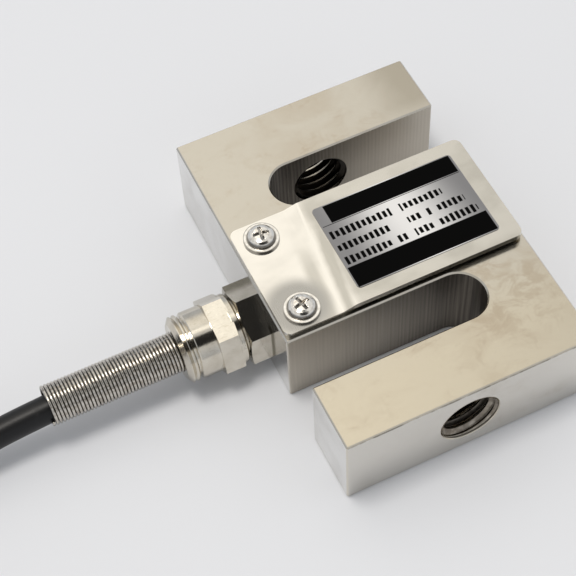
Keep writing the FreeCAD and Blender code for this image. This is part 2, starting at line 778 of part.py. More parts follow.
def routeWire(points, name):
    """Straight runs joined by tangent arcs, each as large as its two runs allow."""
    edges = []
    radii = []
    at = points[0]
    for before, corner, after in zip(points, points[1:], points[2:]):
        back = before - corner
        ahead = after - corner
        turn = math.pi - back.getAngle(ahead)
        shorter = min(back.Length, ahead.Length)
        reach = 0.45 * shorter
        radii.append(reach / math.tan(turn / 2))
        back.normalize()
        ahead.normalize()
        start = corner + back * reach
        end = corner + ahead * reach
        inward = back + ahead
        inward.normalize()
        to_arc = radii[-1] / math.cos(turn / 2) - radii[-1]
        edges.append(Part.LineSegment(at, start).toShape())
        edges.append(Part.Arc(start, corner + inward * to_arc, end).toShape())
        at = end
    edges.append(Part.LineSegment(at, points[-1]).toShape())
    wire = Part.Wire(edges)
    print(f"{name}: {wire.Length:.1f} mm, arc radii {[round(r, 1) for r in radii]}")
    return wire


def tube(points, radius, name):
    wire = routeWire(points, name)
    toward = points[1] - points[0]
    ring = Part.Wire(Part.makeCircle(radius, points[0], toward))
    solid = wire.makePipeShell([ring], True, False)
    expected = math.pi * radius**2 * wire.Length
    if abs(solid.Volume - expected) > 0.01 * expected:
        raise RuntimeError(f"{name}: volume {solid.Volume:.1f}, expected {expected:.1f}")
    return solid


def coilLayout():
    """Surfaces of the coil: radii from its middle, and heights above the floor."""
    thick = s.cable_diameter
    inner = s.coil_inner_radius - thick / 2
    outer = inner + thick * (s.turns_per_layer + 1)
    base = s.tie_thickness
    return SimpleNamespace(
        thick=thick,
        inner=inner,
        outer=outer,
        upper=outer - thick * (s.upper_turns + 1),
        base=base,
        ledge=base + thick * 2,
        top=base + thick * 3,
    )


def coilNumbers():
    return SimpleNamespace(**{name: size.number for name, size in vars(coilLayout()).items()})


def onCoil(radius, angle, height):
    turn = math.radians(angle)
    flat = Vector(s.coil_x.number, s.coil_y.number, 0)
    return flat + Vector(radius * math.cos(turn), radius * math.sin(turn), height)


def cableEntry(back=0.0):
    """The point where the cable touches the coil's outer turn, or a point short of it on the tangent."""
    coil = coilNumbers()
    turn = math.radians(s.entry_angle.number)
    tangent = Vector(-math.sin(turn), math.cos(turn), 0)
    height = coil.base + coil.thick / 2
    return onCoil(coil.outer - coil.thick / 2, s.entry_angle.number, height) + tangent * back


def makeCable():
    """From the end of the jacket inside the beam, through gland and guard, and down to the coil."""
    wall = -s.beam_width.number / 2
    axis_height = s.entry_height.number
    mouth = wall - s.spring_reach.number
    entry = s.entry_length.number
    route = [
        Vector(wall + s.jacket_end.number, 0, axis_height),
        Vector((wall + mouth) / 2, 0, axis_height),
        Vector(mouth - 1, s.sway_start.number, axis_height - s.droop_start.number),
        Vector(mouth - 1 - s.droop_length.number, s.sway_end.number, axis_height - s.droop_end.number),
        cableEntry(entry + s.approach_length.number),
        cableEntry(entry),
    ]
    shaped("cable", tube(route, s.cable_diameter.number / 2, "cable"))


def makeCableCoil():
    """Two layers of turns wound in and out again, and part of a third on top of them."""
    coil = coilNumbers()
    half = coil.thick / 2
    section = [
        (coil.inner, coil.base),
        (coil.outer, coil.base),
        (coil.outer, coil.top),
        (coil.upper, coil.top),
        (coil.upper, coil.ledge),
        (coil.inner, coil.ledge),
    ]
    corners = [Vector(x, 0, z) for x, z in section]
    face = Part.Face(Part.makePolygon(corners + corners[:1]))
    bundle = face.revolve(Vector(0, 0, 0), Vector(0, 0, 1), 360)
    rims = [edge for edge in bundle.Edges if abs(edge.BoundBox.XLength / 2 - coil.outer) < 1e-3]
    bundle = bundle.makeFillet(half * 0.6, rims)
    bundle.translate(onCoil(0, 0, 0))
    entry = Part.makeCylinder(half, s.entry_length.number, cableEntry(), cableEntry(1.0) - cableEntry())

    height = coil.ledge + half
    end = s.entry_angle.number - 360 * s.upper_turns.number
    radii = [coil.upper + half * across for across in (1.0, 0.75, -0.9, -2.3)]
    tail = [onCoil(radius, end - 18 * step, height) for step, radius in enumerate(radii)]
    solid = bundle.fuse([entry, tube(tail, half, "end of the coil")]).removeSplitter()
    shaped("cable_coil", solid.Solids[0])
    return tail


def makeCoilTies():
    """Flat bands around the bundle of turns; the coil rests on them."""
    coil = coilLayout()
    band, gap = s.tie_thickness, s.fit
    half_width = s.tie_width / 2
    inner = coil.inner - gap - half_width * half_width / (coil.inner * 2)
    outer = coil.outer + gap
    top = coil.top + gap
    step = coil.upper - gap
    low = coil.ledge + gap
    for number, angle in enumerate((s.first_tie_angle, s.second_tie_angle), start=1):
        body = newBody(f"coil_tie_{number}")
        section = newSketch(body, f"tie_section_{number}", "XZ_Plane")
        polygon(
            section,
            [
                (inner - band, 0),
                (outer + band, 0),
                (outer + band, top + band),
                (step - band / 2, top + band),
                (inner - band, low + band),
            ],
        )
        hole = [(inner, coil.base), (outer, coil.base), (outer, top), (step, top), (inner, low)]
        polygon(section, hole)
        pad(body, section, s.tie_width, symmetric=True)
        place(body, s.coil_x, s.coil_y, 0, angle)


def makeCableEnd(tail):
    """A shrink sleeve on the cable's end, and the tinned leads that come out of it."""
    coil = coilNumbers()
    forward = tail[-1] - tail[-2]
    forward.normalize()
    inward = Vector(forward.y, -forward.x, 0)
    radius = s.cable_diameter.number / 2 + s.sleeve_wall.number
    start = Vector(tail[-1].x, tail[-1].y, coil.ledge + radius)
    sleeve = doc.addObject("Part::Cylinder", "cable_end_sleeve")
    sleeve.Label = "cable_end_sleeve"
    bind(sleeve, "Radius", s.cable_diameter / 2 + s.sleeve_wall)
    bind(sleeve, "Height", s.sleeve_length)
    sleeve.Placement = Placement(start, Rotation(Vector(0, 0, 1), forward))
    parts.append(sleeve)

    mouth = start + forward * s.sleeve_length.number
    lead = s.lead_radius.number
    floor = coil.ledge + lead + s.fit.number
    middle = coil.upper - lead - s.lead_spacing.number * 2.9
    run = s.lead_length.number / 5
    for index, name in enumerate(("lead_red", "lead_black", "lead_green", "lead_white", "shield_drain")):
        across = (index - 2) * s.lead_spacing.number
        lift = lead if index % 2 else -lead
        first = mouth + inward * (across * 0.75) + Vector(0, 0, lift)
        second = first + forward * (run * 0.7)
        spoke = second - onCoil(0, 0, second.z)
        bearing = math.degrees(math.atan2(spoke.y, spoke.x))
        resting = middle - across
        arc = math.degrees(run / resting)
        route = [first, second]
        route.append(onCoil((spoke.Length + resting) / 2, bearing - arc, floor + (second.z - floor) * 0.3))
        for step in (2, 3, 4):
            route.append(onCoil(resting, bearing - arc * step, floor))
        insulated = tube(route, lead, name)
        onward = route[-1] - route[-2]
        strand = Part.makeCylinder(s.strand_radius.number, s.strand_length.number, route[-1], onward)
        shaped(name, insulated.fuse(strand).removeSplitter().Solids[0])


def makeBox(name, length, width, height, x, y, z, turn=0):
    """A box centred on x, y with its lower face at z."""
    box = doc.addObject("Part::Box", name)
    box.Label = name
    bind(box, "Length", length)
    bind(box, "Width", width)
    bind(box, "Height", height)
    doc.recompute()
    angle = math.radians(turn)
    dx = length * (math.cos(angle) / 2) - width * (math.sin(angle) / 2)
    dy = length * (math.sin(angle) / 2) + width * (math.cos(angle) / 2)
    place(box, asSize(x) - dx, asSize(y) - dy, z, turn)
    parts.append(box)


def boardPlace(side):
    """The middle of the terminal board (side -1) or of the balance resistor (side 1), X."""
    return side * (s.pocket_length / 2 - s.board_inset)


def makeWebParts():
    """Gauges on both sides of the web, and the board and resistor beside the front pair."""
    web_top = (s.beam_thickness + s.web_thickness) / 2
    web_low = (s.beam_thickness - s.web_thickness) / 2
    number = 1
    for z in (web_top, web_low - s.gauge_thickness):
        for side in (-1, 1):
            makeBox(
                f"strain_gauge_{number}",
                s.gauge_length,
                s.gauge_width,
                s.gauge_thickness,
                0,
                side * s.gauge_spread,
                z,
                turn=45 * side,
            )
            number += 1
    size = (s.terminal_length, s.terminal_width, s.terminal_thickness)
    makeBox("terminal_board", *size, boardPlace(-1), 0, web_top)
    size = (s.resistor_length, s.resistor_width, s.resistor_height)
    makeBox("balance_resistor", *size, boardPlace(1), 0, web_top)


def makeCores():
    """The cable's four cores: straight on from the jacket, up in the well, and down on the board."""
    board_top = (s.beam_thickness + s.web_thickness).number / 2 + s.terminal_thickness.number
    radius = s.core_radius.number
    start = s.jacket_end.number - s.beam_width.number / 2
    low = s.entry_height.number + s.core_lift.number
    laid = board_top + radius
    well = s.well_start.number
    board = boardPlace(-1).number - s.terminal_length.number / 2
    climb_start = well - s.core_radius.number * 2.25
    climb_end = well + s.well_length.number - s.core_radius.number * 1.75
    for index, colour in enumerate(("red", "black", "green", "white")):
        y = (index - 1.5) * s.core_spacing.number
        route = [
            Vector(start, y, low),
            Vector(climb_start, y, low),
            Vector(climb_end, y, laid - radius / 4),
            Vector(board + radius, y * 1.2, laid + radius),
            Vector(board + s.terminal_length.number * 0.8, y * 1.4, laid + s.fit.number / 2),
        ]
        shaped(f"core_{colour}", tube(route, radius, f"core_{colour}"))


def makePotting():
    """Sealing compound in both pockets, with room over the parts that it covers."""
    web_top = (s.beam_thickness + s.web_thickness) / 2
    web_low = (s.beam_thickness - s.web_thickness) / 2
    front_height = s.beam_thickness - s.potting_depth - web_top
    rear_height = web_low - s.potting_depth / 4
    for name, base, height, lower in (
        ("front_potting", web_top, front_height, web_top),
        ("rear_potting", s.potting_depth / 4, rear_height, web_low - s.gauge_thickness),
    ):
        body = newBody(name)
        outline = newSketch(body, name + "_outline", "XY_Plane", base)
        half_x = s.pocket_length / 2 - s.fit
        half_y = s.pocket_width / 2 - s.fit
        rectangle(outline, -half_x, -half_y, half_x, half_y)
        block = pad(body, outline, height)
        dress(body, "Fillet", block, isUpright, s.pocket_corner - s.fit)
        gauges = newSketch(body, name + "_gauge_room", "XY_Plane", lower)
        room = s.gauge_length * 0.75
        reach = s.gauge_spread + room
        rectangle(gauges, -room, -reach, room, reach)
        pocket(body, gauges, s.gauge_thickness, upward=True)
        if name == "front_potting":
            board = newSketch(body, name + "_board_room", "XY_Plane", lower)
            board_end = boardPlace(-1) + s.terminal_length / 2 + s.fit
            board_side = s.terminal_width / 2 + s.fit
            rectangle(board, -half_x, -board_side, board_end, board_side)
            pocket(body, board, s.potting_room, upward=True)
            chip = newSketch(body, name + "_resistor_room", "XY_Plane", lower)
            chip_x = s.resistor_length / 2 + s.fit
            chip_y = s.resistor_width / 2 + s.fit
            chip_middle = boardPlace(1)
            rectangle(chip, chip_middle - chip_x, -chip_y, chip_middle + chip_x, chip_y)
            pocket(body, chip, s.resistor_height, upward=True)


def checkAndWrite():
    doc.recompute()
    for item in doc.Objects:
        bad = [state for state in item.State if state in ("Invalid", "Error")]
        if bad:
            raise RuntimeError(f"{item.Name} is {bad}")
    os.makedirs("parts", exist_ok=True)
    for part in parts:
        shape = part.Shape
        if shape.isNull() or not shape.isValid() or len(shape.Solids) != 1:
            raise RuntimeError(f"{part.Label} is not one valid solid")
        shape.exportStep(f"parts/{part.Label}.step")
    print(f"{len(parts)} sub-parts written")


doc = FreeCAD.newDocument("s_type_load_cell")
parts = []
s = makeSheet()
doc.recompute()
makeBeamBody()
makeCoverPlate()
makeRatingLabel()
makeScrewsAndWashers()
makeGlandBody()
makeSealingRing()
makeGlandSeal()
makeClampRing()
makeGlandNut()
makeGuardSpring()
makeCable()
cable_tail = makeCableCoil()
makeCoilTies()
makeCableEnd(cable_tail)
makeWebParts()
makeCores()
makePotting()
checkAndWrite()
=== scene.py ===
import bpy
import math
import numpy as np
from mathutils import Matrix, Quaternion, Vector


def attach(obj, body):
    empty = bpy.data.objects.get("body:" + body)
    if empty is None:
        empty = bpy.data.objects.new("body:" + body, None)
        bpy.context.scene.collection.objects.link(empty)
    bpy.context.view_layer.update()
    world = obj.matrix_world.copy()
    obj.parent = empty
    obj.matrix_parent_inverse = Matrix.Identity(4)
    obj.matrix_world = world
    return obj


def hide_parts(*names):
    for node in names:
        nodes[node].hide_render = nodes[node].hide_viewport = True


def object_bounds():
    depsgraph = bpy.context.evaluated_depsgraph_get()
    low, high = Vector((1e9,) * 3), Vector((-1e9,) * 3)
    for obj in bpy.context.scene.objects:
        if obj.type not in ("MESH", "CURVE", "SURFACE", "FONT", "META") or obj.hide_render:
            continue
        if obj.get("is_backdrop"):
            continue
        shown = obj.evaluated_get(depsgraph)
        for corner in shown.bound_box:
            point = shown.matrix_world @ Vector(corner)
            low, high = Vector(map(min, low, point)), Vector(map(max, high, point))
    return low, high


# S type load cell, lying flat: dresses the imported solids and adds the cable, the guard's wire, the
# threads, the screws and the label's print. Dictionaries hold millimetres and degrees, but the
# studio and its lamps are in metres; mm turns millimetres into metres.

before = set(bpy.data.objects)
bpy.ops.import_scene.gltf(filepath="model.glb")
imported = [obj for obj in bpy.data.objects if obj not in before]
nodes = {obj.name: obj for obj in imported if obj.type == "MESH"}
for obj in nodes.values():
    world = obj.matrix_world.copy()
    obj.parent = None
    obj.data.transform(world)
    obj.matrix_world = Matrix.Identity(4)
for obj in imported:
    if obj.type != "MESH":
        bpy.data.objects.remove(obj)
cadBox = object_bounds()
mm = 0.001


# shader helpers: arithmetic on a Channel adds Math nodes

class Channel:
    def __init__(self, tree, socket):
        self.tree = tree
        self.socket = socket

    def maths(self, operation, *values):
        return self.tree.node("ShaderNodeMath", {"operation": operation}, dict(enumerate(values)))

    def __add__(self, other): return self.maths("ADD", self, other)
    def __radd__(self, other): return self.maths("ADD", other, self)
    def __sub__(self, other): return self.maths("SUBTRACT", self, other)
    def __rsub__(self, other): return self.maths("SUBTRACT", other, self)
    def __mul__(self, other): return self.maths("MULTIPLY", self, other)
    def __rmul__(self, other): return self.maths("MULTIPLY", other, self)
    def __truediv__(self, other): return self.maths("DIVIDE", self, other)
    def __rtruediv__(self, other): return self.maths("DIVIDE", other, self)
    def __neg__(self): return self.maths("MULTIPLY", self, -1.0)
    def __abs__(self): return self.maths("ABSOLUTE", self)

    def atMost(self, limit): return self.maths("MINIMUM", self, limit)
    def atLeast(self, limit): return self.maths("MAXIMUM", self, limit)
    def sine(self): return self.maths("SINE", self)
    def floor(self): return self.maths("FLOOR", self)
    def root(self): return self.maths("SQRT", self)

    # 0 below low, 1 above high, smooth between
    def rise(self, low, high):
        settings = {"interpolation_type": "SMOOTHSTEP"}
        sockets = {0: self, 1: low, 2: high, 3: 0.0, 4: 1.0}
        return self.tree.node("ShaderNodeMapRange", settings, sockets)

    # 1 between two values, with soft ends
    def between(self, low, high, soft):
        return self.rise(low - soft, low + soft) * (1.0 - self.rise(high - soft, high + soft))

    # length of the hypotenuse over two sides
    def over(self, other):
        return (self * self + other * other).root()

    def parts(self):
        split = self.tree.node("ShaderNodeSeparateXYZ", sockets={0: self})
        return [Channel(self.tree, output) for output in split.socket.node.outputs]


def colour4(value):
    return value if isinstance(value, Channel) else (*value, 1.0)


class Tree:
    def __init__(self, nodeTree):
        self.nodeTree = nodeTree

    # any node: its settings first, then values or links for its sockets; gives one output
    def node(self, kind, settings=None, sockets=None, output=0):
        made = self.nodeTree.nodes.new(kind)
        for name, value in (settings or {}).items():
            setattr(made, name, value)
        for name, value in (sockets or {}).items():
            self.plug(made.inputs[name], value)
        return Channel(self, made.outputs[output])

    def plug(self, socket, value):
        if isinstance(value, Channel):
            self.nodeTree.links.new(value.socket, socket)
        else:
            socket.default_value = value

    def vector(self, operation, first, second, output=0):
        settings = {"operation": operation}
        return self.node("ShaderNodeVectorMath", settings, {0: first, 1: second}, output)

    def mix(self, factor, first, second):
        settings = {"data_type": "RGBA", "blend_type": "MIX"}
        sockets = {0: factor, 6: colour4(first), 7: colour4(second)}
        return self.node("ShaderNodeMix", settings, sockets, output=2)


class Finish(Tree):
    def __init__(self, name, **constants):
        self.material = bpy.data.materials.new(name)
        self.material.use_nodes = True
        super().__init__(self.material.node_tree)
        self.shader = self.nodeTree.nodes["Principled BSDF"]
        for socket, value in constants.items():
            self.shader.inputs[socket.replace("_", " ")].default_value = value
        self.place = self.node("ShaderNodeTexCoord", output="Object")

    def feed(self, **sockets):
        for name, value in sockets.items():
            self.plug(self.shader.inputs[name.replace("_", " ")], value)

    # x, y, z in millimetres
    def axes(self):
        return self.vector("MULTIPLY", self.place, (1 / mm, 1 / mm, 1 / mm)).parts()

    # noise on object coordinates, with the size of its features along each axis
    def noise(self, sizes, detail=3.0, roughness=0.5, distortion=0.0):
        vector = self.vector("MULTIPLY", self.place, tuple(1.0 / (size * mm) for size in sizes))
        sockets = {"Vector": vector, "Scale": 1.0, "Detail": detail}
        sockets |= {"Roughness": roughness, "Distortion": distortion}
        return self.node("ShaderNodeTexNoise", sockets=sockets)

    # height times distance is in millimetres
    def bump(self, height, distance=1.0):
        sockets = {"Strength": 1.0, "Distance": distance * mm, "Height": height}
        self.feed(Normal=self.node("ShaderNodeBump", sockets=sockets))

    # how far a point is from a place on the object
    def reach(self, point):
        away = self.vector("DISTANCE", self.place, tuple(value * mm for value in point), output=1)
        return away * (1 / mm)


def dress(finish, *names):
    for name in names:
        mesh = nodes[name].data
        mesh.materials.clear()
        mesh.materials.append(finish.material)


# camera

cameraView = {
    "place": (-80.21, -150.22, 256.27),
    "azimuth": 22.246,  # from +Y towards +X
    "elevation": 56.127,
    "roll": -3.94,
    "focal": 1524.354 / 576,  # in widths of the frame
    "sensor": 36.0,
    "clip": (0.01, 20.0),  # metres
}


def makeCamera():
    azimuth, elevation = (math.radians(cameraView[name]) for name in ("azimuth", "elevation"))
    level = math.cos(elevation)
    look = Vector((math.sin(azimuth) * level, math.cos(azimuth) * level, -math.sin(elevation)))
    turn = look.to_track_quat("-Z", "Y") @ Quaternion((0, 0, 1), math.radians(cameraView["roll"]))
    data = bpy.data.cameras.new("camera")
    data.sensor_width = cameraView["sensor"]
    data.lens = cameraView["sensor"] * cameraView["focal"]
    data.clip_start, data.clip_end = cameraView["clip"]
    camera = bpy.data.objects.new("camera", data)
    camera.rotation_euler = turn.to_euler()
    camera.location = Vector(cameraView["place"]) * mm
    bpy.context.scene.collection.objects.link(camera)
    bpy.context.scene.camera = camera


makeCamera()
print("camera ready")


# cable: free run and coil are one spline

cable = {
    "diameter": 5.6,
    "start": [(-21.0, 0.0, 8.8), (-46.85, 0.0, 8.8), (-69.3, -0.3, 8.52), (-87.3, -1.0, 7.0)],
    "exit": (-42.6, 0.0, 8.8),
    "length": 2.0,  # metres
    "middle": (-153.6, 14.1),  # of the coil
    "innerTurn": 23.8,
    "layerTurns": 3.5,
    "upperTurns": 1.5,
    "entryAngle": -60.0,
    "entryRun": (38.0, 23.0, 9.0),  # points before the coil, back from where the cable touches it
    "floor": 0.6,
    "climb": 6,  # layers climbed in a turn, between one layer and the next
    "pointsPerTurn": 16,
    "tailTurn": 54.0,  # the free end comes off the top layer over this angle
    "tailRadius": 25.8,
    "tailPoints": 4,
    "tailCurve": 1.3,
    "stepsPerPoint": 6,
    "roundness": 6,
    "black": (0.008, 0.008, 0.009),
    "dusty": (0.035, 0.035, 0.037),
}


# The coil's line: its radius falls by a diameter a turn in the first layer, grows back in the
# second and falls again in the third; between layers it climbs one diameter over a sixth of a turn.
def coilPoints():
    thick = cable["diameter"]
    outer = cable["innerTurn"] + cable["layerTurns"] * thick
    upper = outer - cable["upperTurns"] * thick
    ends = np.cumsum([0.0, cable["layerTurns"], cable["layerTurns"], cable["upperTurns"]])
    turn = np.arange(0.5, ends[-1] * cable["pointsPerTurn"]) / cable["pointsPerTurn"]
    radius = np.interp(turn, ends, [outer, cable["innerTurn"], outer, upper])
    layer = sum(np.clip((turn - end) * cable["climb"] + 0.5, 0, 1) for end in ends[1:3])
    tail = np.arange(1, cable["tailPoints"] + 1) / cable["tailPoints"]
    turn = np.append(turn, ends[-1] + tail * cable["tailTurn"] / 360)
    radius = np.append(radius, upper + (cable["tailRadius"] - upper) * tail ** cable["tailCurve"])
    layer = np.append(layer, np.full(len(tail), 2.0))
    height = cable["floor"] + thick * (0.5 + layer)
    # a spline of order 3 runs inside its points by this much, so they stand further out
    step = 2 * math.pi / cable["pointsPerTurn"]
    spread = radius / (0.75 + 0.25 * math.cos(step))
    angle = np.radians(cable["entryAngle"]) - 2 * math.pi * turn
    across = cable["middle"][0] + spread * np.cos(angle)
    ahead = cable["middle"][1] + spread * np.sin(angle)
    return np.column_stack([across, ahead, height])


# The whole route: straight out of the gland, down through the guard to the floor, then along the
# line that touches the coil's outer turn, and round the coil.
def cableLine():
    angle = math.radians(cable["entryAngle"])
    outer = cable["innerTurn"] + cable["layerTurns"] * cable["diameter"]
    touch = np.array(cable["middle"]) + outer * np.array([math.cos(angle), math.sin(angle)])
    along = np.array([-math.sin(angle), math.cos(angle)])
    height = cable["floor"] + cable["diameter"] / 2
    entry = [(*(touch + along * back), height) for back in cable["entryRun"]]
    return np.vstack([cable["start"], entry, coilPoints()])


# a round cord: a spline through its points with a circle of the radius carried along it
def makeCurve(name, points, radius, finish):
    data = bpy.data.curves.new(name, "CURVE")
    data.dimensions = "3D"
    spline = data.splines.new("NURBS")
    spline.points.add(len(points) - 1)
    weighted = np.column_stack([points * mm, np.ones(len(points))])
    spline.points.foreach_set("co", weighted.ravel())
    spline.order_u = 3
    spline.use_endpoint_u = True
    spline.resolution_u = cable["stepsPerPoint"]
    data.bevel_depth = radius * mm
    data.bevel_resolution = cable["roundness"]
    data.use_fill_caps = True
    data.materials.append(finish.material)
    curve = bpy.data.objects.new(name, data)
    bpy.context.scene.collection.objects.link(curve)
    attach(curve, "root")
    return curve


# extruded jacket: satin, with faint grain and a little dust
jacket = Finish("cableJacket", Specular_IOR_Level=0.3)
dust = jacket.noise((2.2, 2.2, 2.2), detail=5).rise(0.55, 0.8)
grain = jacket.noise((0.25, 0.25, 0.25), detail=2)
jacket.feed(
    Base_Color=jacket.mix(dust * 0.3, cable["black"], cable["dusty"]),
    Roughness=0.34 + grain * 0.12 + dust * 0.08,
)
jacket.bump(grain, 0.012)

cableCurve = makeCurve("cableAndCoil", cableLine(), cable["diameter"] / 2, jacket)
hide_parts("cable", "cable_coil")
onCable = ["coil_tie_1", "coil_tie_2", "cable_end_sleeve"]
onCable += ["lead_red", "lead_black", "lead_green", "lead_white", "shield_drain"]
print("cable laid")


# surfaces on a grid

# points is (rows, columns, 3) in millimetres; faces join neighbours, wrap round each row, and close
# the first and last rows with one face each when those rows are rings
def gridSurface(name, points, finish, capRows=False, flip=False):
    rows, columns = points.shape[:2]
    index = np.arange(rows * columns).reshape(rows, columns)
    following = np.roll(index, -1, axis=1)
    quads = np.stack([index[:-1], following[:-1], following[1:], index[1:]], axis=-1)
    faces = [tuple(face) for face in quads.reshape(-1, 4).tolist()]
    if capRows:
        faces += [tuple(index[0, ::-1].tolist()), tuple(index[-1].tolist())]
    if flip:
        faces = [face[::-1] for face in faces]
    mesh = bpy.data.meshes.new(name)
    mesh.from_pydata((points.reshape(-1, 3) * mm).tolist(), [], faces)
    mesh.polygons.foreach_set("use_smooth", np.ones(len(faces), dtype=bool))
    mesh.materials.append(finish.material)
    mesh.update()
    piece = bpy.data.objects.new(name, mesh)
    bpy.context.scene.collection.objects.link(piece)
    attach(piece, "root")
    return piece


# beam

beamLook = {
    "slot": (13.5, 24.4),  # slot walls, distance from the middle along Y
    "slotMiddle": 19.0,
    "slotRun": (-14.0, 24.0),  # the painted light on the walls grows along X over this run, towards the open end
    "outerSides": (25.2, 25.35),
    "cutterPitch": 0.8,
    "warmFrom": (10.0, 30.0),  # the near arm's warm tint fades in over this distance along -Y
    "brownPatch": (15.0, -21.0, 19.05),  # middle of the browned patch by the near slot's round end
    "brownReach": (6.0, 14.0),
    "farCornerX": (16.0, 26.0),
    "farCornerY": (22.0, 28.0),
    "glandY": 4.0,  # middle of the painted shade on the left side, across from the gland
    "glandReach": (5.0, 18.0),
    "edgeHeight": (18.5, 18.85),
    "endFaces": (37.9, 38.05),
    "plated": (0.60, 0.565, 0.495),
    "warm": (0.64, 0.58, 0.465),  # plating on the near arm
    "stained": (0.47, 0.395, 0.295),
    "speck": (0.42, 0.37, 0.3),
    "scratched": (0.34, 0.29, 0.22),
    "tarnish": (0.44, 0.405, 0.335),
    "side": (0.76, 0.755, 0.74),
    "sideDullAndShaded": (0.6, 0.59, 0.57),
    "end": (0.70, 0.675, 0.625),
    "endDull": (0.56, 0.52, 0.455),
    "underEdgeShade": (0.16, 0.145, 0.12),
    "wallLight": (0.19, 0.17, 0.145),
    "wallDark": (0.05, 0.043, 0.036),
    "wallPaintedLight": (0.66, 0.61, 0.53),
}

nickel = Finish("beamNickel", Metallic=1.0)
x, y, z = nickel.axes()
facing = nickel.node("ShaderNodeNewGeometry", output="Normal").parts()
clouds = nickel.noise((17, 12, 12), detail=5, roughness=0.55, distortion=0.4)
patina = nickel.noise((5, 4, 4), detail=6, roughness=0.65, distortion=0.8)
speckle = nickel.noise((0.45, 0.45, 0.45), detail=3)
grinding = nickel.noise((0.16, 5, 5), detail=2)
strokes = nickel.noise((9, 0.5, 3), detail=5, roughness=0.7, distortion=1.5)

# plating on the upper face: cloudy stains, specks, scratches, and two darker places
plated = nickel.mix((-y).rise(*beamLook["warmFrom"]), beamLook["plated"], beamLook["warm"])
stain = clouds.rise(0.46, 0.74) * 0.4 + (patina.rise(0.5, 0.72) * clouds.rise(0.38, 0.62)) * 0.4
plated = nickel.mix(stain, plated, beamLook["stained"])
roundEnd = 1.0 - nickel.reach(beamLook["brownPatch"]).rise(*beamLook["brownReach"])
roundEnd = roundEnd * patina.rise(0.42, 0.62)
plated = nickel.mix(roundEnd * 0.55, plated, beamLook["stained"])
plated = nickel.mix(speckle.rise(0.6, 0.75) * 0.12, plated, beamLook["speck"])
farCorner = (x + clouds * 8.0).rise(*beamLook["farCornerX"]) * y.rise(*beamLook["farCornerY"])
plated = nickel.mix(farCorner * 0.9, plated, beamLook["tarnish"])
scratch = strokes.rise(0.66, 0.72) * clouds.rise(0.4, 0.6)
plated = nickel.mix(scratch * 0.22, plated, beamLook["scratched"])

# painted light: the left side and the ends are lit brighter than the upper face, with painted shade
# on the left side across from the gland, and a painted dark line just under the ends' upper edges
# painted shade on the left side across from the gland, mixed with the clouds' real stains
shadeByGland = 1.0 - abs(y - beamLook["glandY"]).rise(*beamLook["glandReach"])
stainsAndShade = clouds.rise(0.35, 0.7).atLeast(shadeByGland)
side = nickel.mix(stainsAndShade, beamLook["side"], beamLook["sideDullAndShaded"])
# painted light: faces turned towards -X, and towards either end, take the lighter side and end
# colours
plated = nickel.mix((-facing[0]).rise(0.6, 0.9), plated, side)
end = nickel.mix(stain, beamLook["end"], beamLook["endDull"])
plated = nickel.mix(abs(facing[1]).rise(0.6, 0.9), plated, end)
# painted shade: a dark line just under the upper edges of the end faces, broken up by the patina
# noise
underEdge = z.between(*beamLook["edgeHeight"], 0.06) * abs(y).rise(*beamLook["endFaces"])
underEdge = underEdge * patina.rise(0.35, 0.6)
plated = nickel.mix(underEdge * 0.75, plated, beamLook["underEdgeShade"])

# slot walls: upright lines left by the cutter, in tones painted dark as shade deep in the slot, with
# painted light towards the slot's open end
inSlot = abs(y).between(*beamLook["slot"], 0.05)
upright = 1.0 - abs(facing[2]).rise(0.3, 0.6)
wall = inSlot * upright * (1.0 - abs(x).rise(*beamLook["outerSides"]))
mouth = (x * y / beamLook["slotMiddle"]).rise(*beamLook["slotRun"])
milling = nickel.noise((0.35, 0.35, 26), detail=3)
cutter = (x * (2 * math.pi / beamLook["cutterPitch"]) + clouds * 3.0).sine()
lines = milling.rise(0.3, 0.7) * 0.55 + cutter * 0.22 + 0.22
machinedWithShade = nickel.mix(lines, beamLook["wallDark"], beamLook["wallLight"])
machinedWithShade = nickel.mix(mouth * 0.75, machinedWithShade, beamLook["wallPaintedLight"])

nickel.feed(
    Base_Color=nickel.mix(wall, plated, machinedWithShade),
    Roughness=0.12 + clouds * 0.1 + speckle * 0.05 + wall * 0.2,
)
wallRelief = wall * (milling * 0.5 + cutter * 0.25) * 0.02
faceRelief = (1.0 - wall) * (grinding * 0.0035 + clouds * 0.006)
nickel.bump(wallRelief + faceRelief)
dress(nickel, "beam_body")


# threads in the two load holes

loadThread = {
    "crest": 5.06,
    "root": 5.96,
    "pitch": 1.75,
    "flank": 2.7,  # how fast the profile falls from crest to root
    "flat": 0.12,  # and how flat its crest is
    "height": 9.525,
    "mouth": 6.25,
    "span": (24.32, 38.02),
    "rows": 280,
    "columns": 96,
    "endFace": 38.1,
    "boreShadeFrom": (0.8, 5.0),  # depth below the end face over which painted shade darkens the bore
    "bright": (0.46, 0.42, 0.36),
    "oiled": (0.22, 0.19, 0.155),
    "boreShade": (0.02, 0.017, 0.014),
}

threadSteel = Finish("threadSteel", Metallic=1.0)
oily = threadSteel.noise((1.5, 1.5, 1.5), detail=3)
# painted shade: the bore darkens with depth below the end face
below = loadThread["endFace"] - abs(threadSteel.axes()[1])
inside = below.rise(*loadThread["boreShadeFrom"])
ridges = threadSteel.mix(oily.rise(0.3, 0.7), loadThread["bright"], loadThread["oiled"])
threadSteel.feed(
    Base_Color=threadSteel.mix(inside * 0.95, ridges, loadThread["boreShade"]),
    Roughness=0.22 + oily * 0.2,
)


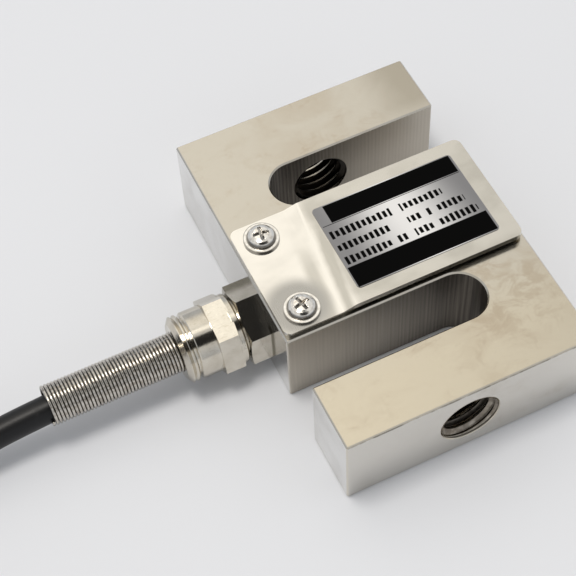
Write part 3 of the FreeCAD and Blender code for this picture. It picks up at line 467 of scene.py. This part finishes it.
# Internal thread: round the axis the radius swings between crest and root once a pitch, and near
# the mouth a countersink cuts the ridges back.
def makeThread(name, side):
    around = np.linspace(0, 2 * math.pi, loadThread["columns"], endpoint=False)[None, :]
    depth = np.linspace(*loadThread["span"], loadThread["rows"])[:, None]
    phase = (depth / loadThread["pitch"] + around / (2 * math.pi)) % 1.0
    flank = np.clip(np.abs(phase - 0.5) * loadThread["flank"] - loadThread["flat"], 0, 1)
    radius = loadThread["crest"] + (loadThread["root"] - loadThread["crest"]) * flank
    sink = loadThread["mouth"] - (loadThread["span"][1] - depth)
    radius = np.minimum(np.maximum(radius, sink), loadThread["root"])
    across, up = radius * np.cos(around), radius * np.sin(around)
    points = np.stack([across, side * depth + 0 * around, loadThread["height"] + up], axis=-1)
    gridSurface(name, points, threadSteel, flip=side < 0)


makeThread("nearThread", -1)
makeThread("farThread", 1)
print("beam done")


# cover, label, screws

coverLook = {
    "bright": (0.90, 0.87, 0.81),
    "dull": (0.55, 0.53, 0.48),
    "haloColour": (0.42, 0.41, 0.385),
    "halo": (-20.5, -8.3, 20.2),  # middle of the dull ring round the near screw
    "haloReach": (4.4, 7.8),
    "lean": 0.12,  # the painted highlight and shade by the bend lean this much in X along Y
    "bendHighlight": (-12.3, -11.8),
    "shadeRight": (-11.2, -9.6),
    "shadeRightEnd": (-2.0, 9.0),  # fades out along Y
    "shadeLeft": (-15.6, -13.0),
    "shadeLeftEnd": (-3.0, 7.0),
    "raisedFrom": (-11.5, -9.0),
}

coverSteel = Finish("coverSteel", Metallic=1.0)
x, y, z = coverSteel.axes()
brushed = coverSteel.noise((0.1, 7, 7), detail=3)
stain = coverSteel.noise((13, 9, 9), detail=3)
smear = coverSteel.noise((2.4, 2.4, 2.4), detail=4)
halo = 1.0 - coverSteel.reach(coverLook["halo"]).rise(*coverLook["haloReach"])
# painted light by the bend: a painted highlight along the bend line, and painted shade beside it on
# either side that fades out along Y
leaning = x - y * coverLook["lean"]
bendHighlight = leaning.between(*coverLook["bendHighlight"], 0.2)
shadeRight = leaning.between(*coverLook["shadeRight"], 0.7)
shadeRight = shadeRight * (1.0 - y.rise(*coverLook["shadeRightEnd"]))
shadeLeft = leaning.between(*coverLook["shadeLeft"], 0.9)
shadeLeft = shadeLeft * (1.0 - y.rise(*coverLook["shadeLeftEnd"])) * 0.8
shaded = shadeRight + shadeLeft
raised = x.rise(*coverLook["raisedFrom"])
dull = (raised * 0.7 + stain.rise(0.4, 0.7) * 0.4 + shaded).atMost(1.0) * (1.0 - bendHighlight)
sheet = coverSteel.mix(dull, coverLook["bright"], coverLook["dull"])
coverSteel.feed(
    Base_Color=coverSteel.mix(halo, sheet, coverLook["haloColour"]),
    Roughness=0.1 + brushed * 0.05 + smear * 0.08 + halo * 0.1,
)
coverSteel.bump(brushed * 0.0015 + smear * 0.004)
dress(coverSteel, "cover_plate")

label = {
    "middle": (6.3, 0.0),
    "bands": [(-12.8, 5.6, 14.7, 9.9), (-14.9, -9.9, 14.7, -5.1)],  # x0, y0, x1, y1 from the middle
    "rule": (-14.8, 5.3, 14.7, 5.45),
    # y, then the ends of two runs of blocks
    "rows": [
        (2.9, -14.4, -1.6, 0.4, 9.4),
        (-0.4, -14.4, -3.6, 0.4, 12.6),
        (-3.6, -14.4, -1.2, 0.4, 13.8),
    ],
    "blockPitch": 1.12,
    "block": (0.1, 0.72),  # part of the pitch that a block fills
    "blockHalf": (0.6, 0.38),  # least half height of a block, and how much chance may add
    "gapChance": (0.06, 0.07),
    "sheenFrom": 0.6,  # X of the brightest line
    "sheenLean": 0.15,
    "sheenReach": 15.0,
    "silver": (0.80, 0.80, 0.81),
    "shade": (0.24, 0.24, 0.25),
    "ink": (0.004, 0.004, 0.004),
}

# print: two dark bands, a thin rule, and rows of plain blocks whose heights vary
labelFoil = Finish("labelFoil", Specular_IOR_Level=0.0)
x, y, z = labelFoil.axes()
x = x - label["middle"][0]
pitches = x / label["blockPitch"]
cell = pitches.floor()
bars = [*label["bands"], label["rule"]]
ink = sum(x.between(x0, x1, 0.05) * y.between(y0, y1, 0.05) for x0, y0, x1, y1 in bars)
for height, *ends in label["rows"]:
    seed = labelFoil.node("ShaderNodeCombineXYZ", sockets={0: cell, 1: height})
    chance = labelFoil.node("ShaderNodeTexWhiteNoise", sockets={0: seed})
    half = label["blockHalf"][0] + chance * label["blockHalf"][1]
    inside = x.between(ends[0], ends[1], 0.04) + x.between(ends[2], ends[3], 0.04)
    block = (pitches - cell).between(*label["block"], 0.03)
    block = block * (1.0 - (abs(y - height) - half).rise(-0.04, 0.04))
    ink = ink + inside * block * chance.rise(*label["gapChance"])
ink = ink.atMost(1.0)
# painted sheen: the foil is lightest along a leaning line and shades off to either side
fromSheen = abs(x + y * label["sheenLean"] - label["sheenFrom"])
sheen = 1.0 - (fromSheen / label["sheenReach"]).rise(0.0, 0.95)
foilGrain = labelFoil.noise((0.1, 5, 5), detail=2)
silver = labelFoil.mix(sheen, label["shade"], label["silver"])
labelFoil.feed(
    Base_Color=labelFoil.mix(ink, silver, label["ink"]),
    Metallic=0.95 - ink * 0.95,
    Roughness=0.26 + foilGrain * 0.1 + ink * 0.12,
)
dress(labelFoil, "rating_label")

screw = {
    "places": [(-19.9, -8.9, 20.75), (-19.9, 8.9, 20.75)],
    "turns": [14.0, -8.0],
    # radius and height, from the rim to the middle of the head, and from under it to the tip
    "rim": [(2.75, 0.0), (2.75, 0.3), (2.68, 0.55), (2.45, 0.88)],
    "crown": [(2.05, 1.18), (1.5, 1.4), (0.8, 1.5), (0.0, 1.53)],
    "shank": [(1.45, -0.01), (1.45, -5.6), (1.05, -6.0), (0.0, -6.0)],
    "recess": {"reach": 1.6, "width": 0.36, "depth": 1.0, "tipDepth": 0.5, "soft": (0.06, 0.08)},
    "recessFrom": 0.6,  # height over the rim from which the recess may cut
    "rows": 90,
    "crowding": 0.8,  # under 1, the rows crowd towards the middle
    "columns": 144,
    "darkWithin": (1.5, 1.7),  # distances from the axis, for the painted shade in the recess
    "darkBelow": (21.9, 22.1),
    "rimShadow": (2.4, 2.65),
    "bright": (0.97, 0.94, 0.88),
    "worn": (0.76, 0.71, 0.64),
    "dark": (0.1, 0.09, 0.08),  # painted shade inside the recess and round the rim
}


# distance from the axis of the nearer screw
def fromScrew(finish):
    x, y = finish.axes()[:2]
    return (x - screw["places"][0][0]).over(abs(y) - screw["places"][1][1])


screwSteel = Finish("screwSteel", Metallic=1.0)
worn = screwSteel.noise((0.7, 0.7, 0.7), detail=4)
offAxis = fromScrew(screwSteel)
# painted shade inside the cross recess, and a painted shadow round the head's rim
recessShade = 1.0 - offAxis.rise(*screw["darkWithin"])
recessShade = recessShade * (1.0 - screwSteel.axes()[2].rise(*screw["darkBelow"]))
shadowed = (recessShade * 0.72 + offAxis.rise(*screw["rimShadow"]) * 0.8).atMost(1.0)
headSteel = screwSteel.mix(worn.rise(0.4, 0.75), screw["bright"], screw["worn"])
screwSteel.feed(
    Base_Color=screwSteel.mix(shadowed, headSteel, screw["dark"]),
    Roughness=0.08 + worn * 0.12,
)
screwSteel.bump(worn, 0.012)


# Pan head: a domed profile turned round the axis; inside the cross, where a point is within half a
# wing's width of either wing's line, the surface drops to a floor that rises from the middle to the
# tips.
def makeScrew(name, place, turn, replaced):
    recess = screw["recess"]
    across, up = np.array(screw["rim"] + screw["crown"]).T
    fine = np.linspace(0, 1, screw["rows"]) ** screw["crowding"]
    length = np.append(0, np.cumsum(np.hypot(np.diff(across), np.diff(up))))
    length /= length[-1]
    radius, height = np.interp(fine, length, across), np.interp(fine, length, up)
    under = np.array(screw["shank"])[::-1]
    radius = np.concatenate([under[:, 0], radius])[:, None]
    height = np.concatenate([under[:, 1], height])[:, None]
    around = np.linspace(0, 2 * math.pi, screw["columns"], endpoint=False)[None, :]
    first = np.abs(radius * np.cos(around - math.radians(turn)))
    second = np.abs(radius * np.sin(around - math.radians(turn)))
    along, beside = np.maximum(first, second), np.minimum(first, second)
    wing = np.clip((recess["width"] - beside) / recess["soft"][0], 0, 1)
    wing = wing * np.clip((recess["reach"] - along) / recess["soft"][1], 0, 1)
    drop = np.interp(along, [0, recess["reach"]], [recess["depth"], recess["tipDepth"]])
    floor = screw["crown"][-1][1] - drop
    lowered = height + wing * (np.minimum(floor, height) - height)
    shaped = np.where(height > screw["recessFrom"], lowered, height) + 0 * around
    points = np.stack([radius * np.cos(around), radius * np.sin(around), shaped], axis=-1)
    points = points + np.array(place)
    piece = gridSurface(name, points, screwSteel)
    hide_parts(replaced)


for number, (place, turn) in enumerate(zip(screw["places"], screw["turns"]), start=1):
    makeScrew(f"panScrew{number}", place, turn, f"cover_screw_{number}")

washer = {
    "innerLine": (2.85, 3.0),
    "outerLine": (3.3, 3.45),
    "bright": (0.9, 0.88, 0.84),
    "dull": (0.74, 0.71, 0.66),
    "line": (0.16, 0.15, 0.13),
}

washerSteel = Finish("washerSteel", Metallic=1.0)
rolled = washerSteel.noise((0.8, 0.8, 0.8), detail=3)
offAxis = fromScrew(washerSteel)
# painted shade: dark rings where the screw's head sits on the washer and round the washer's outer
# edge
washerEdgeShade = offAxis.rise(*washer["outerLine"]) + (1.0 - offAxis.rise(*washer["innerLine"]))
ringSteel = washerSteel.mix(rolled.rise(0.35, 0.7), washer["bright"], washer["dull"])
washerSteel.feed(
    Base_Color=washerSteel.mix(washerEdgeShade * 0.7, ringSteel, washer["line"]),
    Roughness=0.18 + rolled * 0.12,
)
dress(washerSteel, "screw_washer_1", "screw_washer_2")
print("cover done")


# gland and guard

gland = {
    "bodyFrom": (-31.5, -31.0),  # X of the body's outer end, behind the nut
    "joint": (-25.85, -25.6),  # dark line where the hexagon meets the beam
    "jointFrom": (5.3, 5.8),  # only at its two edges along Y
    "farSideShadeFrom": (3.0, 5.5),
    "bright": (0.68, 0.64, 0.56),
    "dull": (0.5, 0.45, 0.37),
    "olive": (0.19, 0.17, 0.12),
}

glandNickel = Finish("glandNickel", Metallic=1.0)
x, y, z = glandNickel.axes()
tooling = glandNickel.noise((0.09, 4, 4), detail=2)
patch = glandNickel.noise((3, 3, 3), detail=3)
nick = glandNickel.noise((0.7, 0.14, 0.14), detail=3)
onBody = x.rise(*gland["bodyFrom"])
# painted shade on the gland's side towards +Y, stronger on the body behind the nut
farSideShade = y.rise(*gland["farSideShadeFrom"]) * (0.45 + 0.55 * onBody) * 0.85
joint = x.rise(*gland["joint"]) * abs(y).rise(*gland["jointFrom"]) * 0.85
variation = nick.rise(0.54, 0.7) * 0.45 + patch.rise(0.35, 0.8) * 0.55
turned = glandNickel.mix(variation, gland["bright"], gland["dull"])
glandNickel.feed(
    Base_Color=glandNickel.mix(farSideShade.atLeast(joint), turned, gland["olive"]),
    Roughness=0.06 + patch * 0.08 + tooling * 0.05,
)
glandNickel.bump(tooling * 0.5 + nick * 0.5, 0.008)
dress(glandNickel, "gland_body", "gland_nut")

rubber = Finish("sealRubber")
rubberGrain = rubber.noise((0.4, 0.4, 0.4))
rubber.feed(
    Base_Color=rubber.mix(rubberGrain, (0.02, 0.02, 0.02), (0.05, 0.05, 0.05)),
    Roughness=0.5 + rubberGrain * 0.2,
)
dress(rubber, "sealing_ring", "gland_seal")

guard = {
    "radius": 4.05,
    "wire": 0.62,
    "start": -39.45,
    "end": -69.4,
    "turns": 42.5,
    "height": 8.8,
    "perTurn": 40,
    "section": 10,
    "gapShadeDepth": (0.42, 0.12),  # depths under the wire's outside, where the painted shade between turns is full and where it is none
    "bright": (0.6, 0.57, 0.52),
    "dull": (0.34, 0.305, 0.26),
    "gapShade": (0.02, 0.018, 0.015),
}

guardSteel = Finish("guardSteel", Metallic=1.0)
drawn = guardSteel.noise((1.2, 0.5, 0.5), detail=3)
x, y, z = guardSteel.axes()
offAxis = y.over(z - guard["height"])
# painted shade in the gaps between the wire's turns
gapShade = 1.0 - offAxis.rise(*(guard["radius"] - depth for depth in guard["gapShadeDepth"]))
wireSteel = guardSteel.mix(drawn.rise(0.35, 0.75), guard["bright"], guard["dull"])
guardSteel.feed(
    Base_Color=guardSteel.mix(gapShade * 0.95, wireSteel, guard["gapShade"]),
    Roughness=0.1 + drawn * 0.14,
)


# Wire: a small circle carried along a helix about the cable's axis.
def makeGuard():
    wire = guard["wire"] / 2
    ring = guard["radius"] - wire
    turn = np.linspace(0, guard["turns"], int(guard["turns"] * guard["perTurn"]))
    angle = -2 * math.pi * turn
    along = np.interp(turn, [0, guard["turns"]], [guard["start"] - wire, guard["end"] + wire])
    outward = np.column_stack([0 * angle, np.cos(angle), np.sin(angle)])
    centre = outward * ring + np.column_stack([along, 0 * along, 0 * along + guard["height"]])
    tangent = np.gradient(centre, axis=0)
    tangent /= np.linalg.norm(tangent, axis=1, keepdims=True)
    side = np.cross(tangent, outward)
    around = np.linspace(0, 2 * math.pi, guard["section"], endpoint=False)[None, :, None]
    circle = np.cos(around) * outward[:, None, :] + np.sin(around) * side[:, None, :]
    points = centre[:, None, :] + wire * circle
    piece = gridSurface("guardWire", points, guardSteel, capRows=True)
    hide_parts("guard_spring")


makeGuard()

clampPlastic = Finish("clampPlastic")
moulded = clampPlastic.noise((0.6, 0.6, 0.6))
clampPlastic.feed(
    Base_Color=clampPlastic.mix(moulded, (0.08, 0.08, 0.085), (0.13, 0.13, 0.135)),
    Roughness=0.42 + moulded * 0.16,
)
dress(clampPlastic, "clamp_ring")
print("gland done")


# pieces inside the beam and on the cable's end

def plainFinish(name, light, dark, size, roughness, bump=0.0):
    finish = Finish(name)
    variation = finish.noise((size, size, size), detail=3)
    finish.feed(
        Base_Color=finish.mix(variation.rise(0.3, 0.7), light, dark),
        Roughness=roughness + variation * 0.12,
    )
    if bump:
        finish.bump(variation, bump)
    return finish


# light, dark, size of the variation, roughness, bump
plainFinishes = {
    "gaugeFilm": ((0.66, 0.42, 0.15), (0.5, 0.3, 0.09), 0.5, 0.35),
    "boardResist": ((0.02, 0.2, 0.08), (0.02, 0.26, 0.11), 1.0, 0.3),
    "resistorBody": ((0.02, 0.02, 0.02), (0.06, 0.06, 0.06), 0.3, 0.4),
    "potting": ((0.74, 0.74, 0.71), (0.68, 0.68, 0.66), 3.0, 0.45, 0.05),
    "tieNylon": ((0.78, 0.78, 0.75), (0.7, 0.7, 0.67), 1.5, 0.4, 0.02),
    "shrinkSleeve": ((0.02, 0.02, 0.02), (0.045, 0.045, 0.045), 1.2, 0.5, 0.03),
}
plainPieces = {
    "gaugeFilm": [f"strain_gauge_{number}" for number in (1, 2, 3, 4)],
    "boardResist": ["terminal_board"],
    "resistorBody": ["balance_resistor"],
    "potting": ["front_potting", "rear_potting"],
    "tieNylon": ["coil_tie_1", "coil_tie_2"],
    "shrinkSleeve": ["cable_end_sleeve"],
}
for name, values in plainFinishes.items():
    dress(plainFinish(name, *values), *plainPieces[name])

leads = {
    "red": ((0.5, 0.02, 0.015), (0.62, 0.04, 0.03)),
    "black": ((0.015, 0.015, 0.015), (0.04, 0.04, 0.04)),
    "green": ((0.02, 0.26, 0.07), (0.03, 0.34, 0.1)),
    "white": ((0.8, 0.8, 0.77), (0.7, 0.7, 0.67)),
    "drain": ((0.5, 0.47, 0.4), (0.6, 0.57, 0.5)),
}
tinned = {"length": 6.0, "soft": 0.1, "endVertices": 12, "colour": (0.72, 0.71, 0.68)}


# where a lead ends: the middle of its vertices furthest round the coil from the sleeve
def leadEnd(name):
    mesh = nodes[name].data
    flat = np.empty(len(mesh.vertices) * 3)
    mesh.vertices.foreach_get("co", flat)
    points = flat.reshape(-1, 3) / mm
    away = points[:, :2] - np.array(cable["middle"])
    bearing = np.unwrap(np.arctan2(away[:, 1], away[:, 0]))
    return points[np.argsort(bearing)[:tinned["endVertices"]]].mean(axis=0)


# insulation all over, and bare tinned strands within their length of the lead's end
def leadFinish(colour, light, dark, node):
    finish = Finish(f"insulation_{colour}")
    variation = finish.noise((0.8, 0.8, 0.8), detail=3)
    length, soft = tinned["length"], tinned["soft"]
    bare = 1.0 - finish.reach(leadEnd(node)).rise(length - soft, length + soft)
    strands = finish.noise((0.12, 0.12, 0.9), detail=1)
    coat = finish.mix(variation.rise(0.3, 0.7), light, dark)
    finish.feed(
        Base_Color=finish.mix(bare, coat, tinned["colour"]),
        Metallic=bare,
        Roughness=0.3 + variation * 0.12,
    )
    finish.bump(strands * bare, 0.04)
    return finish


for colour, (light, dark) in leads.items():
    node = "shield_drain" if colour == "drain" else f"lead_{colour}"
    dress(leadFinish(colour, light, dark, node), node)
for colour in ("red", "black", "green", "white"):
    dress(plainFinish(f"core_{colour}", *leads[colour], 0.8, 0.3), f"core_{colour}")
print("inner pieces done")


# floor, world and lamps

studio = {
    "floorSize": 3.0,
    "floorDrop": 0.00002,  # so that no underside lies in the floor's own plane
    "floorPale": (0.765, 0.785, 0.83),
    "floorDeep": (0.75, 0.77, 0.815),
    "shown": (0.775, 0.775, 0.79),
    "sides": (0.56, 0.58, 0.61),
    "above": (0.74, 0.73, 0.71),
    # patches of sky: the middle and the half widths in x and y of the direction, how far out each
    # fades, and its colour
    "patches": [
        ((0.02, 0.53), (0.34, 0.3), (0.1, 2.0), (1.12, 1.08, 1.0)),
        ((0.24, 0.10), (0.19, 0.13), (0.4, 1.5), (1.36, 1.32, 1.23)),
        ((0.0, -0.46), (0.44, 0.27), (0.8, 1.35), (0.02, 0.02, 0.02)),
    ],
}


def makeFloor():
    half = studio["floorSize"] / 2
    mesh = bpy.data.meshes.new("floor")
    corners = [(-half, -half), (half, -half), (half, half), (-half, half)]
    mesh.from_pydata([(x, y, -studio["floorDrop"]) for x, y in corners], [], [(0, 1, 2, 3)])
    floor = bpy.data.objects.new("floor", mesh)
    bpy.context.scene.collection.objects.link(floor)
    paper = Finish("floorPaper", Roughness=0.8, Specular_IOR_Level=0.2)
    tone = paper.noise((300, 300, 300), detail=2).rise(0.3, 0.7)
    paper.feed(Base_Color=paper.mix(tone, studio["floorDeep"], studio["floorPale"]))
    mesh.materials.append(paper.material)
    floor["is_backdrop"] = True


# The sky brightens upwards, with two warm patches overhead and a dark one over the camera's side;
# the camera itself sees plain pale paper.
def makeWorld():
    world = bpy.data.worlds.new("studio")
    bpy.context.scene.world = world
    world.use_nodes = True
    sky = Tree(world.node_tree)
    towards = sky.node("ShaderNodeTexCoord", output="Generated")
    right, ahead, up = towards.parts()
    colour = sky.mix(up.rise(0.1, 0.9), studio["sides"], studio["above"])
    for middle, spread, soft, patchColour in studio["patches"]:
        across = (right - middle[0]) / spread[0]
        along = (ahead - middle[1]) / spread[1]
        inside = (1.0 - (across * across + along * along).rise(*soft)) * up.rise(0.0, 0.1)
        colour = sky.mix(inside, colour, patchColour)
    rays = sky.node("ShaderNodeLightPath")
    colour = sky.mix(rays, colour, studio["shown"])
    background = world.node_tree.nodes["Background"]
    sky.plug(background.inputs["Color"], colour)


lamps = {
    "overhead": {
        "place": (-0.16, 0.08, 1.0),
        "size": (0.3, 0.26),
        "power": 4.1,
        "colour": (1.0, 0.95, 0.88),
    },
}


def makeLamps():
    for name, lamp in lamps.items():
        data = bpy.data.lights.new(name, "AREA")
        data.shape = "RECTANGLE"
        data.size, data.size_y = lamp["size"]
        data.energy = lamp["power"]
        data.color = lamp["colour"]
        light = bpy.data.objects.new(name, data)
        light.location = lamp["place"]
        light.rotation_euler = (-Vector(lamp["place"])).to_track_quat("-Z", "Y").to_euler()
        bpy.context.scene.collection.objects.link(light)


makeFloor()
makeWorld()
makeLamps()
bpy.context.scene.view_settings.view_transform = "Standard"
print("studio done")

# boxes before and after, in metres
boxes = {"cad": cadBox, "visual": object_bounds()}
boxes = {name: [[float(value) for value in corner] for corner in box] for name, box in boxes.items()}
